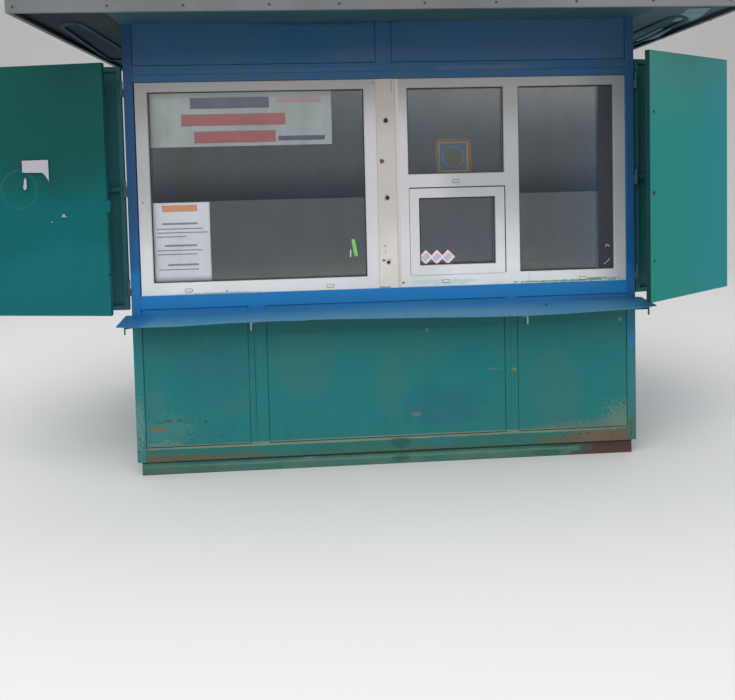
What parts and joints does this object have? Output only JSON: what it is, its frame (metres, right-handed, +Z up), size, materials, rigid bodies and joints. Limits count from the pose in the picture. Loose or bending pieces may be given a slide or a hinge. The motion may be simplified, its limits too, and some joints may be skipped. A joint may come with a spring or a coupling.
{
  "type": "street kiosk",
  "caption": "Steel-clad street kiosk with plastic windows, a serving hatch, a counter shelf and folding window shutters.",
  "frame": {"origin": "on the ground at the plan centre of the kiosk body, on the underside of the middle base joist", "axes": "+X to the right along the front, seen from the front; +Y from the front to the back; +Z up"},
  "size_m": [4.1291, 2.576, 2.704],
  "materials": {
    "blue_paint": "weathered gloss",
    "teal_paint": "weathered satin",
    "base_paint": "weathered satin",
    "shelf_paint": "weathered satin",
    "eave_paint": "satin",
    "fascia_paint": "satin",
    "roof_steel": "dull galvanised",
    "door_paint": "weathered satin",
    "hinge_steel": "painted over",
    "shutter_paint": "satin",
    "white_plastic": "satin",
    "spacer_aluminium": "satin",
    "window_glass": "clear",
    "floor_wood": "plain",
    "gilt_wood": "satin"
  },
  "bodies": {
    "kiosk": {"base_long_beams": "base_paint", "base_cross_beams": "base_paint", "floor_deck": "floor_wood", "corner_posts": "blue_paint", "bottom_rails": "teal_paint", "top_rails": "blue_paint", "sill_rail": "blue_paint", "lintel_rail": "blue_paint", "lower_posts": "teal_paint", "lower_panels": "teal_paint", "upper_post": "blue_paint", "upper_panels": "blue_paint", "window_frame_left": "white_plastic", "window_frame_right": "white_plastic", "window_coupler": "white_plastic", "hatch_sash": "white_plastic", "glass_left": "window_glass", "glass_right": "window_glass", "glass_hatch": "window_glass", "glass_spacers": "spacer_aluminium", "glazing_beads": "white_plastic", "counter_shelf": "shelf_paint", "shelf_brackets": "teal_paint", "left_wall": "teal_paint", "right_wall": "teal_paint", "back_wall": "teal_paint", "door_frame": "door_paint", "door_leaf": "door_paint", "door_handle": "hinge_steel", "door_hinges": "hinge_steel", "ceiling_board": "floor_wood", "eave_beams": "eave_paint", "roof_rafters": "eave_paint", "fascia_long": "fascia_paint", "fascia_side": "fascia_paint", "soffit_long": "eave_paint", "side_soffits": "eave_paint", "roof_sheet": "roof_steel", "shutter_hinge_posts": "hinge_steel", "sign_board": "white_plastic", "framed_picture": "gilt_wood"},
    "left_inner_leaf": {"shutter_left_inner": "shutter_paint"},
    "left_outer_leaf": {"shutter_left_outer": "shutter_paint"},
    "right_inner_leaf": {"shutter_right_inner": "shutter_paint"},
    "right_outer_leaf": {"shutter_right_outer": "shutter_paint"}
  },
  "joints": [
    {"name": "left_shutter_swing", "type": "hinge", "parent": "kiosk", "child": "left_inner_leaf", "pos_m": [-1.411, -1, 0], "axis": [0, 0, 1], "range_deg": [0, 180]},
    {"name": "left_shutter_fold", "type": "hinge", "parent": "left_inner_leaf", "child": "left_outer_leaf", "pos_m": [-2.124, -0.984, 0], "axis": [0, 0, 1], "range_deg": [-169, 0]},
    {"name": "right_shutter_swing", "type": "hinge", "parent": "kiosk", "child": "right_inner_leaf", "pos_m": [1.411, -1, 0], "axis": [0, 0, -1], "range_deg": [0, 192]},
    {"name": "right_shutter_fold", "type": "hinge", "parent": "right_inner_leaf", "child": "right_outer_leaf", "pos_m": [1.98967, -0.86064, 0], "axis": [0, 0, -1], "range_deg": [-159, 0]}
  ],
  "couplings": [
    {"joint": "left_shutter_fold", "follows": "left_shutter_swing", "ratio": -0.93889},
    {"joint": "right_shutter_fold", "follows": "right_shutter_swing", "ratio": -0.82812}
  ]
}
